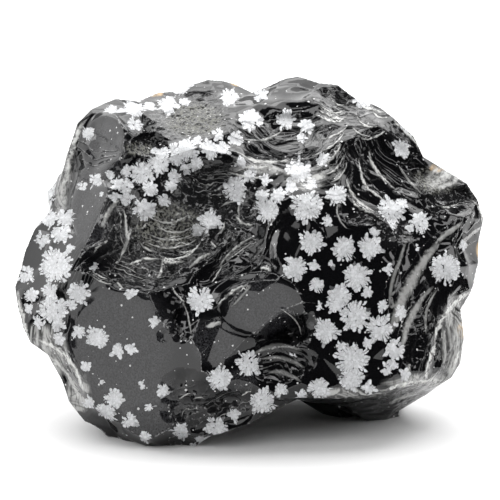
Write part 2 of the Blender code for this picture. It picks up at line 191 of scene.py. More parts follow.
# The drift that bends rings and edges: its wide and narrow wave in mm, its reach in steps, the share
# of that for the narrow wave and for lips, and the seed that makes every build bend the same way
WIDE_DRIFT = 11.0
NARROW_DRIFT = 4.5
DRIFT_STEPS = 10.0
NARROW_SHARE = 0.4
LIP_DRIFT = 0.3
DRIFT_SEED = 23

# How far the skin is lifted before the shells cut it back, so that the outline stays where it
# was read, and the height over which shells and lift fade out towards the worn feet, in mm
SKIN_LIFT = 0.8
WORN_HEIGHT = 7.0

# Large scoops out of sight: x, y, z and radius of each ball pressed in, in mm
BALLS = [
    (-34, 62, 52, 30), (12, 66, 34, 33), (46, 46, 60, 27), (52, 36, 18, 27), (-40, 50, 10, 28),
    (0, 2, -14, 19), (-50, 0, -6, 17),
]

# Fine chips added to the broken patches, and the grit on broken and on granular ground, in mm
FINE_CHIP = 1.9
FINE_CHIP_DEPTH = 0.55
FINE_GRIT = 0.8
FINE_GRIT_DEPTH = 0.14
GRAIN_DEPTH = 0.25

# Pale flakes in front: their middle and half width in steps
FLAKES = [
    (99, 336, 13), (81, 330, 8), (119, 349, 9), (132, 348, 8), (88, 365, 7), (133, 293, 7), (156, 321, 7),
    (81, 292, 13), (144, 383, 5), (165, 388, 8), (116, 397, 12), (109, 409, 12), (132, 418, 9), (91, 401, 8),
    (146, 435, 8), (182, 429, 11), (217, 424, 13), (234, 412, 8), (263, 398, 15), (220, 376, 14),
    (248, 361, 15), (201, 299, 15), (350, 358, 20), (324, 329, 15), (353, 315, 18), (378, 327, 16),
    (338, 295, 14), (334, 303, 11), (355, 276, 16), (294, 268, 15), (313, 266, 7), (310, 242, 14),
    (342, 248, 14), (368, 247, 14), (316, 284, 9), (318, 306, 5), (318, 385, 13), (350, 377, 15),
    (392, 348, 13), (384, 368, 8), (403, 373, 8), (444, 268, 18), (419, 222, 13), (389, 210, 16),
    (387, 224, 9), (401, 150, 11), (306, 206, 19), (298, 172, 15), (266, 211, 15), (335, 196, 12),
    (307, 127, 9), (301, 139, 7), (236, 189, 15), (265, 180, 7), (230, 98, 12), (261, 96, 9), (250, 120, 14),
    (285, 121, 11), (236, 140, 9), (241, 163, 7), (211, 222, 13), (198, 230, 8), (147, 210, 13),
    (165, 200, 8), (120, 185, 10), (143, 174, 14), (160, 165, 13), (187, 151, 15), (210, 150, 12),
    (163, 155, 9), (112, 112, 9), (134, 109, 13), (135, 125, 9), (169, 105, 14), (89, 134, 9), (84, 187, 7),
    (98, 181, 9), (112, 176, 6), (104, 196, 4), (67, 218, 12), (49, 218, 12), (63, 233, 12), (58, 265, 20),
    (28, 274, 10), (53, 291, 12), (56, 309, 18), (60, 323, 9), (62, 338, 8), (33, 295, 9), (31, 308, 6),
    (97, 267, 4), (23, 260, 6), (415, 247, 5), (385, 269, 6), (380, 305, 7), (393, 323, 4), (293, 354, 3),
    (128, 200, 9), (175, 178, 9), (322, 160, 8), (278, 196, 9), (152, 190, 9), (128, 187, 9), (150, 176, 8),
    (172, 186, 8), (178, 160, 9), (197, 165, 9), (118, 198, 7), (222, 150, 9), (128, 172, 7), (155, 152, 6),
    (250, 176, 9), (262, 197, 9), (218, 136, 8), (186, 170, 7), (198, 142, 7), (176, 150, 8), (238, 200, 7),
    (290, 188, 8), (310, 186, 8), (44, 240, 9), (72, 248, 6), (40, 322, 7), (74, 304, 7), (122, 112, 7),
    (150, 108, 8), (184, 102, 7), (104, 380, 4), (152, 404, 5), (280, 388, 9), (300, 392, 7), (366, 386, 8),
    (462, 246, 6), (408, 228, 6), (400, 204, 8), (372, 232, 6), (326, 222, 7), (330, 264, 5), (366, 292, 7),
    (398, 312, 8), (340, 344, 6), (366, 342, 7), (390, 362, 7),
]

# Ripples and ledges too fine for the solid: middle, half length and half height of their ground, the
# point their arcs run around and their spacing, all in steps, and the height of one ledge in mm. The
# gap keeps the ledges of two flows apart.
FLOW_GAP = 40.0
Flow = namedtuple("Flow", "across down length height hit_across hit_down spacing rise")
FLOWS = [Flow(*row) for row in (
    (270, 148, 50, 26, 300, 60, 6, 0.45), (322, 163, 30, 40, 285, 118, 5, 0.4),
    (346, 106, 34, 22, 345, 62, 5.5, 0.6), (384, 172, 38, 36, 418, 124, 10.5, 0.6),
    (176, 232, 42, 30, 178, 130, 5.6, 0.6), (284, 362, 34, 24, 265, 392, 8, 0.15),
    (420, 320, 28, 58, 330, 330, 13, 0.3), (96, 156, 22, 19, 98, 108, 6.5, 0.4),
    (48, 352, 34, 62, 140, 330, 5, 0.22), (447, 340, 18, 46, 400, 340, 5.5, 0.25),
    (470, 226, 16, 38, 430, 215, 5.5, 0.28), (234, 258, 42, 24, 100, 108, 6, 0.55),
    (395, 398, 54, 16, 380, 300, 5, 0.22), (128, 224, 22, 42, 190, 230, 5, 0.35),
    (190, 106, 50, 16, 200, 40, 6, 0.12), (66, 160, 14, 50, 120, 160, 5, 0.25),
    (82, 266, 32, 30, 130, 310, 4, 0.14), (205, 178, 46, 24, 230, 120, 6, 0.3),
    (140, 270, 40, 22, 170, 190, 5, 0.45), (215, 400, 50, 24, 170, 340, 7, 0.2),
)]

# Where the flakes in front are cast from, in mm. Out of sight: where that side starts, the seed, the
# places tried, the least and greatest half width and the size of a patch in mm, how bare a patch
# stays empty, and how far apart flakes are as a share of their half widths.
IN_FRONT = -80.0
HIDDEN_SIDE = -0.05
FLAKE_SEED = 7
HIDDEN_TRIES = 900
SMALLEST_FLAKE = 0.9
LARGEST_FLAKE = 3.8
FLAKE_PATCH = 13.0
BARE_PATCH = -0.05
FLAKE_ROOM = 0.6

# Out of sight, in mm: the point that faint rings run around, their spacing and height, and the size
# of the patches that have rings and of those that are broken
FAR_BLOW = Vector((30.0, 40.0, 60.0))
FAR_SPACING = 1.6
FAR_RISE = 0.12
FAR_RISE_PATCH = 12.0
FAR_BROKEN_PATCH = 14.0

# Ground broken into fine flinty chips: middle, half length and half height in steps
BROKEN = [
    (205, 205, 62, 52), (150, 262, 48, 30), (445, 190, 30, 24), (128, 224, 20, 36), (150, 268, 40, 16),
    (192, 122, 46, 24), (215, 408, 36, 20), (66, 160, 12, 44), (388, 236, 18, 22), (142, 148, 18, 10),
    (345, 100, 26, 14), (448, 340, 12, 46), (400, 402, 46, 14), (364, 217, 22, 9), (404, 132, 20, 18),
]

# Pale lips and ridges, partly pale crushing of the glass and partly painted highlight: both ends, how far
# the middle bows to the right of the way from the first end to the second and the half width, all in
# steps, and the paleness. Their effect fades over some steps. They swell by so many mm for a step of
# width, and the ground on the left of that way stands higher by the drop in mm. Ground off all lips has
# a mark of its own.
LIP_FADE = 4.0
LIP_SWELL = 0.10
LIP_DROP = 0.35
OFF_LIPS = 9.0
Lip = namedtuple("Lip", "from_across from_down to_across to_down bow width pale")
LIPS = [Lip(*row) for row in (
    (97, 254, 112, 241, -2, 1.6, 0.9), (104, 228, 121, 200, -2, 2.6, 0.6),
    (124, 209, 122, 262, -6, 1.5, 0.6), (134, 228, 127, 252, 1, 1.2, 0.6),
    (132, 265, 160, 257, -3, 1.5, 0.8), (159, 252, 195, 246, 8, 1.4, 0.9), (176, 249, 200, 240, 5, 1.1, 0.8),
    (162, 258, 184, 260, 2, 1.8, 0.9), (140, 240, 158, 250, 3, 1.2, 0.6), (163, 260, 159, 278, -2, 1.5, 0.8),
    (188, 268, 210, 252, -2, 2.2, 0.5), (218, 267, 253, 236, -2, 1.3, 0.8),
    (211, 283, 222, 266, 0, 0.9, 0.7), (226, 262, 254, 240, 1, 0.8, 0.6), (218, 304, 248, 284, -3, 1.5, 0.9),
    (237, 217, 253, 225, 3, 2, 0.9), (240, 206, 241, 218, 1, 1, 0.6), (226, 222, 217, 234, -2, 1.2, 0.5),
    (222, 208, 242, 202, -2, 1.2, 0.7), (210, 240, 216, 247, 0, 1.3, 0.7),
    (258, 267, 270, 271, -1, 2.2, 0.9), (231, 306, 250, 284, 1, 1.5, 0.3), (95, 270, 112, 279, 2, 0.9, 0.8),
    (96, 277, 116, 284, 2, 0.9, 0.7), (120, 281, 127, 290, 0, 1.2, 0.5), (150, 218, 190, 214, 6, 1.2, 0.5),
    (158, 226, 192, 224, 6, 1.1, 0.6), (150, 234, 192, 231, 6, 1.1, 0.6), (146, 241, 196, 237, 7, 1.1, 0.7),
    (174, 286, 186, 302, 1, 1, 0.8), (184, 303, 192, 333, -1, 1, 0.4), (206, 325, 222, 320, 0, 2.5, 0.6),
    (180, 398, 193, 390, -1, 0.9, 0.7), (194, 396, 206, 395, -2, 0.9, 0.5), (240, 394, 251, 389, -1, 1, 0.8),
    (252, 354, 302, 350, -7, 2.6, 0.22), (262, 357, 306, 368, -4, 2.4, 0.2),
    (266, 371, 302, 382, -4, 2.4, 0.2), (278, 307, 300, 334, -5, 0.8, 0.6),
    (344, 178, 373, 212, 5, 1.6, 0.6), (358, 160, 386, 203, 9, 1.5, 0.7), (369, 152, 392, 190, 6, 1.8, 0.7),
    (350, 200, 373, 213, 3, 1.4, 0.9), (336, 203, 346, 230, 4, 1, 0.4), (397, 166, 421, 195, 2, 1.6, 0.4),
    (316, 112, 346, 118, 4, 1.2, 0.9), (318, 107, 345, 110, 6, 1, 0.8), (330, 94, 348, 104, 7, 1, 0.8),
    (312, 117, 342, 122, 3, 1, 0.9), (318, 142, 349, 124, 5, 1.1, 0.8), (312, 156, 345, 134, 5, 1.1, 0.8),
    (314, 168, 342, 146, 5, 1.3, 0.8), (318, 176, 344, 158, 4, 0.9, 0.7), (328, 182, 346, 164, 3, 0.9, 0.6),
    (356, 116, 378, 128, 5, 1.2, 0.9), (352, 128, 370, 138, 3, 1, 0.8), (360, 141, 386, 132, 3, 1.3, 0.9),
    (372, 112, 390, 116, 3, 1, 0.8), (358, 104, 385, 112, 2, 1.4, 0.8), (235, 153, 292, 159, 8, 2.4, 0.6),
    (240, 141, 284, 130, 5, 1.4, 0.7), (233, 163, 272, 169, 4, 1.2, 0.7), (228, 172, 268, 178, 3, 1.2, 0.7),
    (434, 202, 458, 203, 4, 1.1, 0.8), (468, 200, 479, 224, -4, 1.3, 0.8), (431, 244, 462, 222, -1, 3, 0.35),
    (458, 246, 481, 226, -1, 2, 0.4), (389, 332, 437, 240, -7, 6, 0.36), (398, 353, 432, 284, -8, 3.6, 0.36),
    (423, 334, 436, 288, -5, 1.8, 0.36), (394, 119, 425, 158, -2, 2.2, 0.6),
    (388, 308, 404, 242, -4, 2, 0.25), (432, 342, 470, 289, -6, 3.2, 0.9),
    (424, 378, 434, 342, -2, 2.6, 0.85), (450, 374, 459, 350, 0, 1.4, 0.8),
    (378, 389, 442, 379, -3, 2.2, 0.85), (385, 402, 418, 393, -1, 2.6, 0.45),
    (400, 376, 407, 362, 0, 3, 0.7), (36, 336, 86, 392, -11, 2.6, 0.75), (48, 352, 80, 398, -5, 2, 0.5),
    (20, 290, 34, 342, 4, 2.6, 0.7), (33, 349, 64, 364, 1, 2.6, 0.75), (62, 190, 84, 122, -1, 3.4, 0.75),
    (60, 372, 72, 402, 2, 1.6, 0.4),
)]

# Glass that stays black however it is turned, with painted shade in the shadowed hollows, troughs and
# underside: middle, half length and half height in steps
SHADE = [
    (146, 143, 17, 8), (272, 150, 34, 7), (190, 196, 22, 14), (225, 163, 14, 5), (334, 124, 14, 6),
    (288, 250, 34, 34), (234, 218, 11, 16), (240, 266, 14, 13), (444, 214, 16, 10), (180, 322, 10, 8),
    (212, 334, 8, 12), (196, 398, 18, 5), (386, 172, 22, 26), (352, 215, 16, 10), (370, 300, 30, 50),
    (412, 345, 12, 14), (438, 306, 10, 16), (400, 262, 12, 14), (105, 256, 12, 12), (148, 284, 15, 7),
    (219, 246, 10, 16), (268, 238, 13, 18), (168, 253, 15, 7), (205, 280, 12, 9), (444, 228, 10, 8),
    (232, 398, 10, 5), (216, 388, 9, 6), (286, 150, 12, 5), (330, 150, 10, 7), (368, 408, 46, 11),
    (318, 110, 9, 8), (346, 121, 14, 6), (374, 128, 12, 7), (350, 108, 16, 4),
]

# Dull granular ground, painted highlights on the rims and some glassy faces, smoky glass and thin warm
# edges, in the same way
GRAIN = [
    (195, 120, 34, 20), (168, 226, 38, 26), (436, 180, 26, 16), (140, 150, 16, 8),
]
PAINTED_HIGHLIGHTS = [
    (52, 352, 20, 30), (80, 392, 14, 24), (38, 335, 20, 14), (452, 340, 13, 50), (62, 175, 10, 44),
    (420, 380, 44, 9), (350, 391, 40, 7), (444, 178, 22, 14), (258, 172, 26, 8), (304, 180, 24, 12),
]
SMOKY = [
    (122, 345, 60, 70), (150, 402, 40, 40), (95, 208, 30, 52), (108, 150, 24, 34), (262, 305, 40, 30),
    (215, 340, 26, 26), (240, 378, 20, 12),
]
WARM = [
    (481, 250, 7, 12), (460, 330, 5, 9), (437, 168, 9, 5), (156, 94, 8, 4), (237, 83, 7, 4),
]
FRONT_GROUND = {"grain": GRAIN, "smoky": SMOKY, "shade": SHADE}

# What is noted on each corner for the skin to read, and how far round the side the painted highlights on the
# rims reach
NOTES = [
    "flow", "flow_rise", "broken", "grain", "pale", "warm", "smoky", "shade", "lip", "lip_pale",
]
HIGHLIGHT_SIDE = -0.3

# The camera: how far off it stands in metres, how much closer than the reading grid it frames, where
# it is aimed along its view in mm, and its sensor in mm. Then the rows of the pale board in metres,
# from its front edge to the top of the sweep behind, each with its half width, place along and
# height, and those of the wide ground just under it.
CAMERA_AWAY = 1.8
CAMERA_CLOSE = 1.008
CAMERA_AIM = -8.0
SENSOR = 36.0
FLOOR_ROWS = [
    (0.07, -0.085, 0), (0.08, 0, 0), (0.1, 0.05, 0), (0.5, 0.12, 0), (2, 0.6, 0), (2, 1.6, 0),
    (2, 1.9, 0.08), (2, 2.1, 0.28), (2, 2.18, 0.6), (2, 2.2, 2.2),
]
GROUND_ROWS = [(3, -3, -0.0001), (3, 1.6, -0.0001)]

# Panels that light the dull ground, the flakes and the table: name, place, size in metres, radiance.
# They face the middle of the stone, and the back panel faces the sweep.
LIT_HEART = (0.0, 0.0, 0.035)
BACK_PANEL = ("back_panel", (0, 1, 1.6), (2, 1.2), 2.4, (0, 1.6, 0.2))
DIFFUSE_PANELS = [
    ("top_light", (0, 0.25, 0.62), (1.1, 0.7), 3.3),
    ("left_light", (-0.62, -0.1, 0.36), (0.7, 0.5), 2),
    ("right_light", (0.62, -0.1, 0.36), (0.7, 0.5), 2),
    ("front_light", (0.05, -0.6, 0.66), (0.8, 0.5), 2),
]

# Panels that show only as reflections in the glass: name, turn from the front, rise, spread
# sideways and upwards in degrees, radiance
PANEL_AWAY = 0.60
MIRROR_PANELS = [
    ("low_left_mirror", -55, -2, (36, 46), 2),
    ("side_left_mirror", -110, 20, (46, 44), 2),
    ("blade_mirror", -21, 28, (26, 26), 2),
    ("left_strip", -82, 34, (8, 50), 5),
    ("right_strip", 82, 25, (10, 34), 3.6),
    ("top_strip", 0, 84, (60, 12), 4),
    ("top_back_mirror", 180, 42, (80, 32), 2.6),
]

# The skin's colours and gloss
BLACK_GLASS = (0.003, 0.003, 0.0035, 1.0)
BROKEN_GLASS = (0.02, 0.02, 0.021, 1.0)
GRANULAR = (0.13, 0.13, 0.112, 1.0)
SMOKY_GLASS = (0.036, 0.036, 0.039, 1.0)
WARM_GLASS = (0.5, 0.34, 0.17, 1.0)
# The grey of the painted highlights on the rims and some glassy faces
HIGHLIGHT_GREY = (0.42, 0.42, 0.41, 1.0)
# The grey of dust and pale crushing, and of painted highlights on sharp ridges and lips
CRUSHED_AND_HIGHLIGHT = (0.45, 0.45, 0.45, 1.0)
# The pale of the painted highlights on the lips of fine ledges
LEDGE_HIGHLIGHT = (0.62, 0.62, 0.6, 1.0)
# The pale of the lips, partly pale crushing of the glass and partly painted highlight
LIP_PALE_AND_HIGHLIGHT = (0.8, 0.8, 0.78, 1.0)
FLAKE = (0.8, 0.81, 0.83, 1.0)
SPECK = (0.55, 0.55, 0.55, 1.0)
GLOSS = 0.06
GLASS_IOR = 1.5

# How far lobes reach past the width that was read, how flat flakes lie to the view, how crowded
# petals, lobes, specks and flints are, the turn that makes each flake its own, and how far flakes
# and flints shiver in metres
FLAKE_SWELL = 1.08
FLAKE_SQUASH = 0.85
PETAL_CROWD = 320.0
LOBE_CROWD = 1200.0
SPECK_CROWD = 860.0
FLINT_CROWD = 760.0
FLAKE_TURN = 900.0
FLAKE_SHIVER = 0.0005
FLINT_SHIVER = 0.0012

# The group that every node of the skin goes into
SKIN = bpy.data.node_groups.new("obsidian_skin", "ShaderNodeTree")

# Kinds of smooth unevenness: how crowded it is, and how much finer detail it carries
UNEVEN = {
    "coarse": (260.0, 4.0), "fine": (1700.0, 4.0), "mottle": (2600.0, 6.0), "streak": (1400.0, 3.0),
    "fray": (420.0, 4.0), "curl": (420.0, 2.0), "wisp": (420.0, 2.0), "bend": (190.0, 1.0),
    "patch": (170.0, 2.0), "jumble": (500.0, 1.0), "shiver": (2200.0, 1.0), "flake": (1500.0, 3.0),
    "lip fray": (1100.0, 4.0), "lip streak": (700.0, 3.0),
}

INTO_VIEW = Vector((0.0, math.cos(TILT), -math.sin(TILT)))
UP_VIEW = Vector((0.0, math.sin(TILT), math.cos(TILT)))


def held(value):
    """A value held between 0 and 1."""
    return min(1.0, max(0.0, value))


def seen_corner(across, down, depth):
    """A corner read from the front, as a point in mm."""
    up = (FLOOR_DOWN - down) * STEP
    height = (up - depth * math.sin(TILT)) / math.cos(TILT)
    return Vector(((across - MIDDLE_ACROSS) * STEP, depth, height))


def cage_corners():
    """Every corner with its side: 1 in front, 0 on the outline and -1 behind."""
    corners = [(seen_corner(*corner), 0.0) for corner in OUTLINE]
    corners += [(seen_corner(*corner), 1.0) for corner in FRONT]
    corners += [(Vector(corner), -1.0) for corner in BACK + UNDERSIDE]
    return corners


def wrapped_triples(corners):
    """The corners that each cage face joins, by number, always in the same order."""
    wrap = bmesh.new()
    for place, _ in corners:
        wrap.verts.new((place - HEART).normalized())
    wrap.verts.index_update()
    bmesh.ops.convex_hull(wrap, input=wrap.verts)
    triples = sorted(sorted(vert.index for vert in face.verts) for face in wrap.faces)
    wrap.free()
    return triples


def build_cage(stone):
    """Join the corners into one closed skin, by wrapping their directions from the heart."""
    sides = stone.verts.layers.float.new("side")
    corners = cage_corners()
    verts = []
    for place, side in corners:
        vert = stone.verts.new(place)
        vert[sides] = side
        verts.append(vert)
    for triple in wrapped_triples(corners):
        stone.faces.new([verts[number] for number in triple])
    bmesh.ops.recalc_face_normals(stone, faces=stone.faces)


def edge_limit(edge, sides):
    """Longest edge allowed here: shortest on the broken ground in front."""
    if edge.verts[0][sides] + edge.verts[1][sides] <= 0.0:
        return BACK_EDGE
    smooth = smoothness(*view_steps((edge.verts[0].co + edge.verts[1].co) / 2))
    return SMOOTH_EDGE if smooth > 0.9 else FRONT_EDGE


def split_long_edges(stone):
    """Halve every edge over its limit, a few times over."""
    sides = stone.verts.layers.float["side"]
    for _ in range(SPLIT_PASSES):
        long_edges = [e for e in stone.edges if e.calc_length() > edge_limit(e, sides)]
        bmesh.ops.subdivide_edges(stone, edges=long_edges, cuts=1, use_grid_fill=True)
        bmesh.ops.triangulate(stone, faces=stone.faces)
    bmesh.ops.dissolve_degenerate(stone, dist=LEAST_EDGE, edges=stone.edges)


def view_steps(point):
    """Where a point is seen: steps across and steps down."""
    return point.x / STEP + MIDDLE_ACROSS, FLOOR_DOWN - point.dot(UP_VIEW) / STEP


def wander(point):
    """A sideways drift in steps, so that no edge or ring runs like a compass line."""
    drift = noise.noise_vector(point / WIDE_DRIFT) * DRIFT_STEPS
    drift += noise.noise_vector(point / NARROW_DRIFT) * DRIFT_STEPS * NARROW_SHARE
    return drift.x, drift.z


def oval_distance(across, down, ovals):
    """How far off the middle of the nearest oval a seen point lies, where 1 is on the oval's edge."""
    return min(
        math.hypot((across - middle) / length, (down - level) / height)
        for middle, level, length, height in ovals
    )


def oval_share(across, down, ovals):
    """How far inside the nearest oval a seen point lies, from 0 outside to 1 well inside."""
    return held((1.0 - oval_distance(across, down, ovals)) * 3.0)


def smoothness(across, down):
    """How smooth the front is here, from 0 to 1."""
    return held((1.1 - oval_distance(across, down, SMOOTH)) * 4.0)


def scoop_depth(across, down, scoop):
    """How deep one scoop cuts here, with rings around the point that was struck."""
    angle = math.radians(scoop.turn)
    side = across - scoop.across
    drop = down - scoop.down
    along = (side * math.cos(angle) + drop * math.sin(angle)) / scoop.length
    over = (drop * math.cos(angle) - side * math.sin(angle)) / scoop.height
    inside = 1.0 - along * along - over * over
    if inside <= 0.0:
        return 0.0
    travel = math.hypot(across - scoop.hit_across, down - scoop.hit_down) / scoop.spacing
    phase = travel - math.floor(travel)
    wave = phase * phase * (1.0 - phase) * RING_PEAK - 0.5
    return scoop.depth * inside + scoop.ring * wave * min(1.0, inside * 3.0)


def shell_cut(point, size):
    """Share from 0 to 1 that neighbouring shells cut here, with sharp ridges between them."""
    spot = point / size
    cut = 0.0
    for middle in noise.voronoi(spot)[1]:
        away = spot - middle
        lean = noise.noise_vector(middle * 7.3)
        cut = max(cut, 1.0 - 1.3 * away.length_squared + 0.7 * away.dot(lean))
    return cut


def chip_depth(point, across, down):
    """How deep the chips of the broken patches cut here."""
    cut = 0.0
    for patch in CHIPPED:
        share = held((1.0 - oval_distance(across, down, [patch[:4]])) * 2.5)
        if share > 0.0:
            cut = max(cut, patch.depth * share * shell_cut(point, patch.chip))
    return cut


def carve_back(point, share):
    """Move a point towards the heart, most of the way clear of every ball."""
    inward = (HEART - point).normalized()
    slide = 0.0
    for x, y, z, radius in BALLS:
        offset = point - Vector((x, y, z))
        if offset.length < radius:
            lean = offset.dot(inward)
            slide = max(slide, math.sqrt(lean * lean - offset.length_squared + radius * radius) - lean)
    return point + inward * slide * share


def roughen(point, side):
    """Break the skin into shells: deep out of sight, slight where it would move the outline."""
    inward = (HEART - point).normalized()
    share = SEEN_SHELL_SHARE
    if side > 0.0:
        share *= 1.0 - smoothness(*view_steps(point)) * side
    else:
        share += (1.0 - SEEN_SHELL_SHARE) * min(1.0, -side * 1.5)
    cut = BIG_SHELL_DEPTH * shell_cut(point, BIG_SHELL)
    cut += SMALL_SHELL_DEPTH * shell_cut(point, SMALL_SHELL)
    return point + inward * (cut * share - SKIN_LIFT) * held(point.z / WORN_HEIGHT)


def strongest_flow(across, down):
    """How many ledges the strongest flow has between the point struck and here, and their height."""
    rises = [flow.rise * oval_share(across, down, [flow[:4]]) for flow in FLOWS]
    rise = max(rises)
    number = rises.index(rise)
    flow = FLOWS[number]
    away = math.hypot(across - flow.hit_across, down - flow.hit_down)
    return away / flow.spacing + number * FLOW_GAP, rise


def place_on_lip(across, down, lip):
    """How far along a lip a seen point lies, from 0 to 1, and its steps off the middle line."""
    run_across = lip.to_across - lip.from_across
    run_down = lip.to_down - lip.from_down
    length = math.hypot(run_across, run_down)
    away_across = across - lip.from_across
    away_down = down - lip.from_down
    along = (away_across * run_across + away_down * run_down) / length**2
    off = (away_down * run_across - away_across * run_down) / length
    return along, off - lip.bow * 4.0 * along * (1.0 - along)


def nearest_lip(across, down):
    """How many half widths off the nearest lip a seen point is, the paleness there and its swell."""
    best, paleness, swell = OFF_LIPS, 0.0, 0.0
    for lip in LIPS:
        along, off = place_on_lip(across, down, lip)
        fade = min(1.0, (lip.width + LIP_FADE - abs(off)) / LIP_FADE)
        if not 0.0 < along < 1.0 or fade <= 0.0:
            continue
        taper = 4.0 * along * (1.0 - along)
        off /= lip.width * (0.4 + 0.6 * taper)
        if abs(off) < abs(best):
            best, paleness = off, lip.pale * min(1.0, 2.0 * taper) * fade
            swell = lip.width * taper * max(0.0, 1.0 - off * off)
    return best, paleness, swell


def shape_front(point, front):
    """A point in front after every break is pressed in, with notes on the ground there."""
    across, down = view_steps(point)
    drift_across, drift_down = wander(point)
    seen = (across + drift_across, down + drift_down)
    near = (across + drift_across * LIP_DRIFT, down + drift_down * LIP_DRIFT)
    broken = oval_share(*seen, BROKEN)
    cut = max(scoop_depth(*seen, scoop) for scoop in SCOOPS) + chip_depth(point, *seen)
    cut += broken * FINE_CHIP_DEPTH * shell_cut(point, FINE_CHIP)
    lip, lip_pale, swell = nearest_lip(*near)
    cut -= swell * LIP_SWELL
    flow, rise = strongest_flow(*seen)
    notes = {
        "broken": broken, "lip": lip, "lip_pale": lip_pale, "flow": flow, "flow_rise": rise * front
    }
    return point + INTO_VIEW * cut * front, notes


def shape_behind(point, side):
    """A point out of sight after the balls are pressed in, with notes on the ground there."""
    point = carve_back(point, min(1.0, -side * 2.0))
    notes = {
        "broken": held(noise.noise(point / FAR_BROKEN_PATCH) * 3.0 + 0.2), "lip": OFF_LIPS,
        "lip_pale": 0.0, "flow": (point - FAR_BLOW).length / FAR_SPACING,
        "flow_rise": FAR_RISE * max(0.0, noise.noise(point / FAR_RISE_PATCH) * 2.0),
    }
    return point, notes


def shape_skin(stone):
    """Press every break into the skin, and note on each corner what kind of ground it is."""
    sides = stone.verts.layers.float["side"]
    layers = {name: stone.verts.layers.float.new(name) for name in NOTES}
    for vert in stone.verts:
        side = vert[sides]
        point = roughen(vert.co, side)
        seen = view_steps(point)
        front = held(side * 2.0)
        if side > 0.0:
            point, notes = shape_front(point, front)
        else:
            point, notes = shape_behind(point, side)
        for name, ovals in FRONT_GROUND.items():
            notes[name] = oval_share(*seen, ovals) * front
        # Painted highlight where light catches the rims and some glassy faces
        notes["pale"] = oval_share(*seen, PAINTED_HIGHLIGHTS) * (1.0 if side > HIGHLIGHT_SIDE else 0.0)
        notes["warm"] = oval_share(*seen, WARM)
        for name, value in notes.items():
            vert[layers[name]] = value
        rough = notes["broken"] * FINE_GRIT_DEPTH + vert[layers["grain"]] * GRAIN_DEPTH
        inward = (HEART - point).normalized()
        vert.co = point + inward * rough * shell_cut(point, FINE_GRIT) * held(point.z / 2.0)


def cut_level(stone):
    """Cut the feet level, which leaves the flats the stone stands on."""
    everything = list(stone.verts) + list(stone.edges) + list(stone.faces)
    bmesh.ops.bisect_plane(
        stone, geom=everything, dist=0.0001, plane_co=(0, 0, 0), plane_no=(0, 0, -1), clear_outer=True
    )
    rims = [edge for edge in stone.edges if edge.is_boundary]
    bmesh.ops.holes_fill(stone, edges=rims)
    bmesh.ops.triangulate(stone, faces=stone.faces)
    bmesh.ops.recalc_face_normals(stone, faces=stone.faces)


def mark_ridges(stone):
    """Note on each corner how sharply the skin stands out there, where glass edges crush pale and take
    painted highlights.
    """
    ridges = stone.verts.layers.float.new("ridge")
    stone.normal_update()
    for vert in stone.verts:
        around = [edge.other_vert(vert).co for edge in vert.link_edges]
        middle = sum(around, Vector()) / len(around)
        width = sum((place - vert.co).length for place in around) / len(around)
        vert[ridges] = held((vert.co - middle).dot(vert.normal) / width * 3.0)


def place_in_box(stone):
    """Turn the stone from mm to metres and stand it in the box of the solid, squeezed if need be."""
    low = Vector([min(vert.co[axis] for vert in stone.verts) for axis in range(3)])
    high = Vector([max(vert.co[axis] for vert in stone.verts) for axis in range(3)])
    room = Vector(CAD_BOX[1]) - Vector(CAD_BOX[0])
    scales = [min(MM, room[axis] / (high[axis] - low[axis])) for axis in range(3)]
    middle = Vector(((low.x + high.x) / 2, (low.y + high.y) / 2, low.z))
    place = Matrix.Diagonal(scales + [1.0]) @ Matrix.Translation(-middle)
    bmesh.ops.transform(stone, matrix=place, verts=stone.verts)
    return place


def spread_flakes(stone, place):
    """Middle, half width and squash of every flake: the seen ones as read, the rest by chance."""
    skin = BVHTree.FromBMesh(stone)
    flakes = []
    for across, down, reach in FLAKES:
        start = place @ seen_corner(across, down, IN_FRONT)
        found = skin.ray_cast(start, place.to_3x3() @ INTO_VIEW)[0]
        if found is not None:
            flakes.append((found, reach * STEP * MM, INTO_VIEW * FLAKE_SQUASH))
    sides = stone.verts.layers.float["side"]
    chance = random.Random(FLAKE_SEED)
    hidden = [vert.co.copy() for vert in stone.verts if vert[sides] < HIDDEN_SIDE]
    for _ in range(HIDDEN_TRIES):
        spot = chance.choice(hidden)
        if noise.noise(spot / MM / FLAKE_PATCH) < BARE_PATCH:
            continue
        reach = chance.uniform(SMALLEST_FLAKE, LARGEST_FLAKE) * chance.uniform(0.6, 1.0) * MM
        if all((spot - other).length > (reach + size) * FLAKE_ROOM for other, size, _ in flakes):
            flakes.append((spot, reach, Vector()))
    return flakes


def mark_flakes(stone, flakes):
    """Note on each face the flake that lies nearest for its size."""
    tree = KDTree(len(flakes))
    for number, flake in enumerate(flakes):
        tree.insert(flake[0], number)
    tree.balance()
    middles = stone.faces.layers.float_vector.new("flake_middle")
    squashes = stone.faces.layers.float_vector.new("flake_squash")
    reaches = stone.faces.layers.float.new("flake_reach")
    for face in stone.faces:
        near = tree.find_n(face.calc_center_median(), 5)
        spot, number, _ = min(near, key=lambda found: found[2] / flakes[found[1]][1])
        face[middles] = spot
        face[reaches] = flakes[number][1] * FLAKE_SWELL
        face[squashes] = flakes[number][2]


def make_object(name, skin, material):
    """A smooth object of one material from a finished skin."""
    for face in skin.faces:
        face.smooth = True
    mesh = bpy.data.meshes.new(name)
    skin.to_mesh(mesh)
    skin.free()
    mesh.materials.append(material)
    return place_object(name, mesh)


def place_object(name, data):
    """An object for a mesh, a light or a camera, put into the scene."""
    made = bpy.data.objects.new(name, data)
    bpy.context.scene.collection.objects.link(made)
    return made


